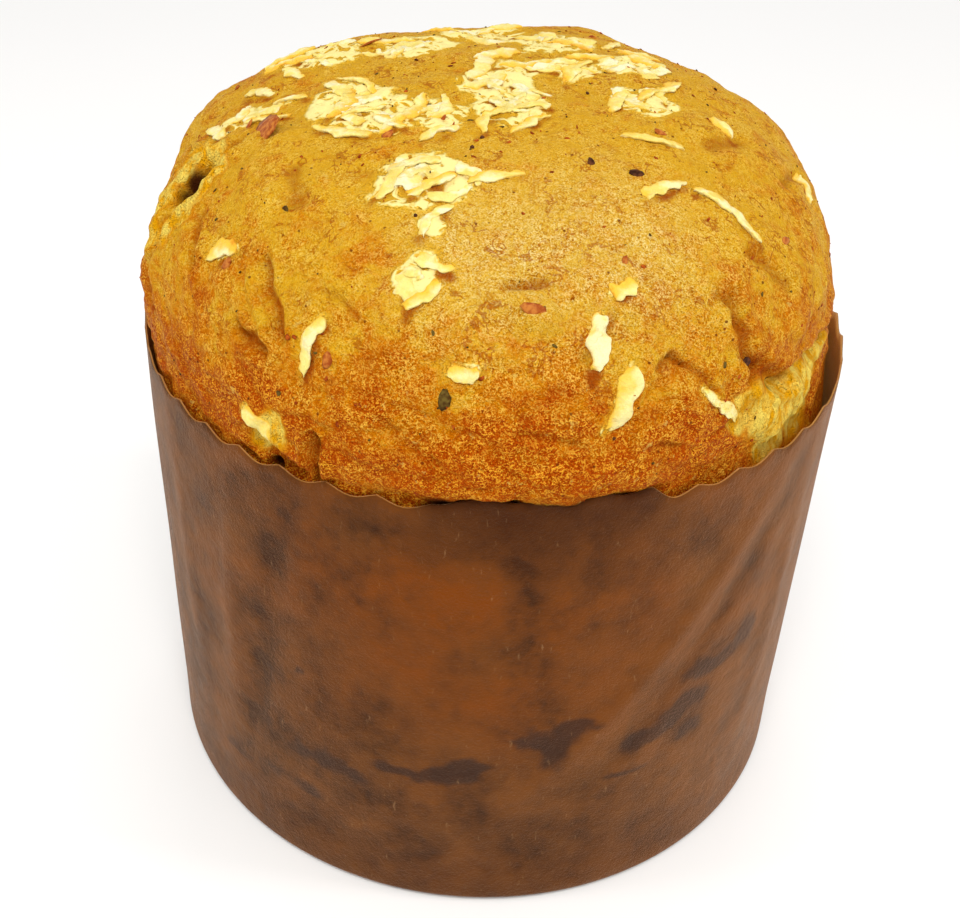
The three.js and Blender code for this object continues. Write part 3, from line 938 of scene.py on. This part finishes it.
def makeCheese(bread):
    tree = BVHTree.FromObject(bread, bpy.context.evaluated_depsgraph_get())
    rng = random.Random(4)
    whole = [(*shred, shredding["rise"]) for shred in shreds]
    for i in range(shredding["behind"]):
        place = (50 + 122 * (i + 0.5) / shredding["behind"], rng.uniform(28, 74))
        turn, length, width = rng.uniform(-90, 90), rng.uniform(5, 11), rng.uniform(1.8, 2.8)
        whole.append((place, turn, length, width, shredding["behindRise"]))
    broken = []
    for place, reach, count in heaps:
        for _ in range(count):
            shift = Vector((rng.gauss(0, 1), rng.gauss(0, 1), rng.gauss(0, 1)))
            way = (toward(*place) * 55 + shift * reach * shredding["spread"]).normalized()
            spot = (math.degrees(math.atan2(way.y, way.x)), math.degrees(math.acos(way.z)))
            size = (rng.uniform(3.0, 8.0), rng.uniform(1.3, 2.8), rng.uniform(0.1, 0.55))
            broken.append((spot, rng.uniform(0, 180), *size))
    vertices, polygons, lines, toast, milky = [], [], [], [], []
    rng = random.Random(12)
    # shreds are browner and less milky than the rounder scraps in the heaps
    for plan, squares, lobes, brown in ((whole, "flake", 0.5, 1), (broken, "scrap", 1.5, 0.55)):
        shape, faces = scrapTemplate(*shredding[squares])
        left = [k for k, co in enumerate(shape) if co.x < -0.49]
        right = [k for k, co in enumerate(shape) if co.x > 0.49]
        for place, turn, length, width, rise in plan:
            start = len(vertices)
            made, cooked = layShred(tree, shape, place, turn, length, width, rise, lobes, rng)
            vertices += made
            toast += [value * brown for value in cooked]
            milky += [1.0 if plan is broken else rng.uniform(0.3, 0.9)] * len(made)
            polygons += [tuple(start + i for i in face) for face in faces]
            ends = [sum((made[k] for k in end), Vector()) / len(end) for end in (left, right)]
            lines.append((*ends, width))
    piece = newMesh("cheese_shreds", vertices, polygons)
    paint(piece, "toast", np.array(toast))
    paint(piece, "milky", np.array(milky))
    startEdit(piece)
    endEdit()
    applyModifier(piece, "soft", "SUBSURF", levels=1, render_levels=1)
    co = points(piece)
    rough = shifts(co, 0.9, (24, 25, 26), 0.22)
    setPoints(piece, co + rough + 0.12 * normals(piece) * grain(co, 1.4, 27)[:, None])
    return piece, lines


def meltHeaps(bread):
    # crust raised a little where cheese melted into it
    co = points(bread)
    heap = np.zeros(len(co))
    ways, far = seenFrom(co + shifts(co, 5, (31, 32, 33), 2.2))
    for place, reach, _ in heaps:
        distance = crownDistance(ways, far, place, place)
        heap = np.maximum(heap, smooth(1.5 * (1 - distance / (1.7 * reach))))
    lift = heap * (0.25 + 0.45 * grain(co, 1.5, 36) + 0.35 * grain(co, 3.2, 37))
    setPoints(bread, co + normals(bread) * lift[:, None])
    return heap


def paintCheeseMarks(bread, lines, melt):
    # cheese that ran into the crust round each shred, and the browned side below it, partly painted shadow
    co = points(bread)
    toast = np.zeros(len(co))
    warped = co + shifts(co, 2.2, (41, 42, 43), 0.9)
    for start, end, width in lines:
        near = np.linalg.norm(co - np.array((start + end) / 2), axis=1) < 14
        distance = segmentDistance(warped[near], start, end)
        melt[near] = np.maximum(melt[near], 0.5 * smooth(1 - (distance - 0.3 * width) / 0.9))
        below = segmentDistance(warped[near] + np.array((0, 0.55 * width, 0.45 * width)), start, end)
        toast[near] = np.maximum(toast[near], smooth(1 - (below - 0.2 * width) / 0.9))
    toast *= smooth(0.5 + 1.6 * grain(co, 3.5, 44))
    paint(bread, "melt", melt * (1 - toast))
    paint(bread, "toast", toast)


case = {
    "radius": caseHigh.x - 0.5,  # at the rim
    "foot": caseHigh.x,
    "thickness": 0.35,
    "rows": 56,
    "scallops": 48,
    "scallopHeight": 1.4,
    "round": 1.3,  # how pointed the scallops are
    "corner": 1.3,
    "hemReach": 9.0,
    "lap": 96.0,  # bearing, at the back
    "lapWidth": 13.0,
    "lapRise": 0.35,
    "frontRise": 2.9,  # the front of the rim, drawn up under the lip
}

# soft upright folds: bearing, lean and depth in mm
folds = [
    (-69, 1.10, 0.7), (-60, 1.00, -0.5), (-35, 0.15, 0.6), (-133, 0.10, 0.6), (-126, 0.25, -0.6),
    (-145, -0.10, 0.5), (-78, -0.30, -0.4), (20, 0.10, -0.6), (75, -0.12, 0.6), (150, 0.10, -0.6),
]


def roundFrom(place, bearing, slope=0, up=0.5):
    # mm round the case from a place, or from a line that leans there
    return turnFrom(place + math.degrees(slope) * (up - 0.5), bearing) * math.radians(case["radius"])


def makeCase():
    bottom = caseLow.z
    radius = case["foot"] - case["hemReach"]
    sides = case["scallops"] * 8
    piece = addShape("paper_wall", bpy.ops.mesh.primitive_circle_add, vertices=sides, radius=radius)
    piece.data.transform(Matrix.Translation((0, 0, bottom)))
    startEdit(piece)
    bpy.ops.mesh.select_mode(type="EDGE")
    height = bottom
    corner = case["corner"]
    outline = [(case["foot"] - 5, bottom), (case["foot"] - corner, bottom)]
    for angle in (30, 60, 90):
        a = math.radians(angle)
        outline.append((case["foot"] - corner + corner * math.sin(a), bottom + corner * (1 - math.cos(a))))
    start = bottom + corner
    for row in range(1, case["rows"] + 1):
        share = row / case["rows"]
        wanted = case["foot"] + (case["radius"] - case["foot"]) * share
        outline.append((wanted, start + (rim - start) * share))
    for wanted, level in outline:
        bpy.ops.mesh.extrude_edges_move(TRANSFORM_OT_translate={"value": (0, 0, level - height)})
        bpy.ops.transform.resize(value=(wanted / radius, wanted / radius, 1), center_override=(0, 0, 0))
        radius, height = wanted, level
    endEdit()
    co = points(piece)
    turn = np.arctan2(co[:, 1], co[:, 0])
    bearing = np.degrees(turn)
    up = np.clip((co[:, 2] - start) / (rim - start), 0, 1)
    wave = 0.5 - np.abs(np.sin(turn * case["scallops"] / 2)) ** case["round"]
    jitter = 1 + 0.25 * grain(co * (1, 1, 0), 30, 41)
    co[:, 2] += case["scallopHeight"] * wave * jitter * smooth((up - 0.93) / 0.07)
    front = smooth((bearing + 98) / 5) * smooth((-63 - bearing) / 7)
    co[:, 2] += case["frontRise"] * front * smooth((up - 0.9) / 0.1)
    # soft dents, upright folds and the lap at the back
    dent = 0.45 * grain(co * (1, 1, 0.6), 24, 42) - 0.15
    dent += 0.12 * grain(co * (1, 1, 0.25), 7, 43)
    for place, slope, depth in folds:
        away = roundFrom(place, bearing, slope, up)
        dent += depth * bell(away, 3.2) * smooth(1 - np.abs(up - 0.6) / 0.5)
    lap = case["lapWidth"] / 2 - np.abs(roundFrom(case["lap"], bearing))
    push = dent * smooth(up / 0.12) + case["lapRise"] * smooth(lap / 0.7) * smooth(up / 0.02)
    # the hem is pleated under the loaf
    flat = np.hypot(co[:, 0], co[:, 1])
    pleats = smooth((start - co[:, 2]) / corner) * np.abs(np.sin(turn * 60)) * smooth((flat - 58) / 4)
    co[:, 2] += 0.25 * pleats * (flat < case["foot"] - 0.4)
    co[:, :2] *= (1 + push / flat)[:, None]
    setPoints(piece, co)
    applyModifier(piece, "thick", "SOLIDIFY", thickness=case["thickness"], offset=-1)
    return piece


# dark fillings that show through the paper: bearing, height, half-width, half-height in mm
stains = [
    (-103, 36, 3.5, 1.5), (-97, 36, 6, 1.8), (-90, 39.5, 5, 1.6), (-92, 37, 4, 2.4), (-83, 47, 4, 2),
    (-77, 46, 4, 2.4), (-73, 49, 3.5, 1.8), (-78, 41, 2.6, 3.4), (-63, 41, 4, 2.4), (-59, 43, 4, 2.6),
    (-54, 45.5, 5, 2.6), (-53, 38, 4, 2), (-52, 53, 5, 2.2), (-46, 54, 4, 2.6), (-42, 57, 3, 3),
    (-124, 49.5, 1.6, 1.5), (-118, 53, 1.5, 1.3), (-125, 23, 4, 2), (-119, 32, 4, 2.4), (-113, 33, 3, 2.2),
    (-109, 31, 3, 1.6), (-118, 22, 4, 2), (-134, 19, 4, 2), (-66, 33, 4, 1.5),
    (20, 40, 6, 2), (60, 28, 7, 2), (85, 46, 4, 3), (130, 35, 7, 2), (165, 52, 5, 3), (-172, 30, 6, 2),
]


def paintCase(piece):
    co = points(piece)
    bearing = np.degrees(np.arctan2(co[:, 1], co[:, 0]))
    up = co[:, 2]
    # light through the upper front, shade under the lip and at the foot
    front = bell(roundFrom(-90, bearing), 36) * bell(up - 80, 32)
    patchy = 0.6 + 0.5 * grain(co, 14, 51)
    shade = smooth((bearing + 106) / 12) * smooth((-58 - bearing) / 14)
    shade *= smooth((up - 80 + 6 * grain(co, 9, 57)) / 18)
    paint(piece, "glow", (front * patchy * 1.2 + 0.15 * patchy) * (1 - shade))
    paint(piece, "shade", np.maximum(shade, 0.55 * smooth((26 - up) / 24)))
    # the lining inside the case, lighter with painted light shining through the paper, left out in the
    # painted shade under the lip
    facing = normals(piece)
    outward = (facing[:, 0] * co[:, 0] + facing[:, 1] * co[:, 1]) / np.hypot(co[:, 0], co[:, 1])
    shaded = smooth((bearing + 101) / 4) * smooth((-66 - bearing) / 4)
    paint(piece, "inside", smooth((-outward - 0.1) / 0.4) * (1 - shaded))
    # painted light and shade: lighter to the right and darker to the left, lighter or darker along the
    # folds
    paintedLightAndShade = 0.5 + 0.33 * np.cos(np.radians(bearing + 15))
    for place, slope, depth in folds:
        away = roundFrom(place, bearing, slope, up / rim)
        paintedLightAndShade += 0.8 * depth * bell(away, 3.5) * smooth(1 - np.abs(up / rim - 0.7) / 0.45)
    paint(piece, "paintedLightAndShade", paintedLightAndShade)
    # a painted highlight along the top of the rim, left out in the painted shade under the lip
    crest = caseHigh.z - case["scallopHeight"] / 2
    edge = smooth((up - crest + 0.9) / 0.5) * smooth((0.6 - outward) / 0.4)
    paint(piece, "edge", edge * (1 - shaded))
    around = case["radius"] * np.radians(bearing)
    flow = np.stack([around, up, up * 0], 1)
    shiftA = 2.6 * grain(flow, 7, 52) + 1.2 * grain(flow, 2.6, 53)
    shiftB = 2.2 * grain(flow, 6, 54) + 1.2 * grain(flow, 2.4, 55)
    stain = np.zeros(len(co))
    for place, height, wide, tall in stains:
        away = roundFrom(place, bearing)
        reach = np.hypot((away + shiftA) / (wide * 1.5), (up - height + shiftB) / (tall * 1.7))
        stain += 0.8 * smooth(1.15 - reach)
    smudge = smooth((grain(flow, 9, 56) - 0.1) / 0.4) * smooth((52 - up) / 20) * 0.30
    paint(piece, "stain", np.maximum(np.clip(stain, 0, 1), smudge))


base = {
    "sides": 160,
    "insets": (0.4, 3, 12, 20),
    "edge": 0.12,
}


def makeBase():
    size = {"vertices": base["sides"], "radius": boardHigh.x, "depth": boardHigh.z}
    piece = addShape("base_board", bpy.ops.mesh.primitive_cylinder_add, **size)
    piece.data.transform(Matrix.Translation((0, 0, boardHigh.z / 2)))
    bpy.ops.object.mode_set(mode="EDIT")
    bpy.ops.mesh.select_mode(type="FACE")
    bpy.ops.mesh.select_all(action="DESELECT")
    bpy.ops.object.mode_set(mode="OBJECT")
    for face in piece.data.polygons:
        face.select = abs(face.normal.z) > 0.9
    bpy.ops.object.mode_set(mode="EDIT")
    for inset in base["insets"]:
        bpy.ops.mesh.inset(thickness=inset, use_even_offset=False)
    bpy.ops.object.mode_set(mode="OBJECT")
    applyModifier(piece, "edge", "BEVEL", width=base["edge"], segments=2, limit_method="ANGLE")
    return piece


# Small bits in the crust: number laid at random, their shortest and longest and thickness in mm,
# draw, look (finish, dark, light, roughness), and the others: place, length and width, turn.
bits = {
    "herb_flakes": (
        140, (0.3, 1.1), 0.15, 61, ("dried herb", (0.060, 0.026, 0.005), (0.130, 0.085, 0.016), 0.6),
        [((-96, 73), (3.6, 1.8), 80), ((-130, 55), (1.6, 1.1), 20)],
    ),
    "red_flakes": (
        380, (0.25, 1.1), 0.15, 62, ("red pepper", (0.16, 0.018, 0.003), (0.42, 0.085, 0.008), 0.5), [],
    ),
    "olive_bits": (
        16, (0.5, 1.3), 0.3, 63, ("black olive", (0.030, 0.010, 0.005), (0.110, 0.036, 0.014), 0.4),
        [((-57, 43), (3.0, 1.6), -40), ((-67, 39), (1.8, 1.2), 90), ((-53, 73), (2.2, 1.8), 20)],
    ),
    "ham_bits": (
        14, (1.5, 3.4), 0.35, 64, ("baked ham", (0.30, 0.060, 0.010), (0.50, 0.170, 0.030), 0.3),
        [
            ((-157.2, 48.0), (8.4, 6.0), 60), ((142, 37), (5.5, 2.2), 172), ((-165, 50), (2.6, 1.4), 120),
            ((-85, 62), (4.0, 2.2), -16), ((-112, 71), (3.0, 1.6), 80), ((-134, 65), (2.6, 1.6), 60),
        ],
    ),
}


def makeFlakes(bread, name):
    # flat crooked flakes, lying on or half in the crust
    count, (shortest, longest), thickness, seed, look, placed = bits[name]
    tree = BVHTree.FromObject(bread, bpy.context.evaluated_depsgraph_get())
    rng = random.Random(seed)
    vertices, polygons = [], []
    plan = list(placed)
    foot, top = math.cos(math.radians(88)), math.cos(math.radians(12))
    for _ in range(count):
        tilt = math.degrees(math.acos(rng.uniform(foot, top)))
        long = shortest + (longest - shortest) * rng.random() ** 2
        place = (rng.uniform(-180, 180), tilt)
        plan.append((place, (long, long * rng.uniform(0.35, 0.8)), rng.uniform(0, 180)))
    sides = 10
    for place, (long, wide), turn in plan:
        out = toward(*place)
        spot, face = crownSpot(tree, out)
        along, across = turnedSides(out, turn)
        start = len(vertices)
        tip = rng.uniform(-0.25, 0.25)
        oval, corner = rng.uniform(0, 6), rng.uniform(0, 6)
        for ring, (grow, lift) in enumerate(((0.9, -0.3), (1.0, 0.45), (0.6, 1.0))):
            for side in range(sides):
                a = 2 * math.pi * side / sides
                dents = 0.18 * math.sin(2 * a + oval) + 0.14 * math.sin(3 * a + corner)
                reach = 1 + dents / (1 + long / 6)
                reach *= grow * (1 + 0.06 * rng.uniform(-1, 1))
                x, y = 0.5 * long * math.cos(a) * reach, 0.5 * wide * math.sin(a) * reach
                rise = thickness * (lift + tip * math.cos(a))
                vertices.append(spot + along * x + across * y + face * rise)
        vertices.append(spot + face * thickness * 1.05)
        vertices.append(spot - face * thickness * 0.5)
        for side in range(sides):
            a, b = start + side, start + (side + 1) % sides
            for ring in (0, sides):
                polygons.append((a + ring, b + ring, b + ring + sides, a + ring + sides))
            polygons.append((a + 2 * sides, b + 2 * sides, start + 3 * sides))
            polygons.append((b, a, start + 3 * sides + 1))
    return newMesh(name, vertices, polygons), look


bread = makeLoaf()
print("loaf shaped")
melted = meltHeaps(bread)
cheese, cheeseLines = makeCheese(bread)
paintCheeseMarks(bread, cheeseLines, melted)
print("cheese laid")
flakes = [makeFlakes(bread, name) for name in bits]
print("small bits laid")

finishPiece(bread, crustFinish(), ["bread"])
finishPiece(cheese, cheeseFinish())
for piece, look in flakes:
    finishPiece(piece, flakeFinish(*look))
print("loaf finished")

wall = makeCase()
paintCase(wall)
finishPiece(wall, paperFinish(), ["paper_case"])
board = makeBase()
finishPiece(board, baseFinish(), ["case_base"], angle=40)
print("case finished")

floor = addShape("floor", bpy.ops.mesh.primitive_plane_add, size=studio["floor"])
floor.data.materials.append(floorFinish())
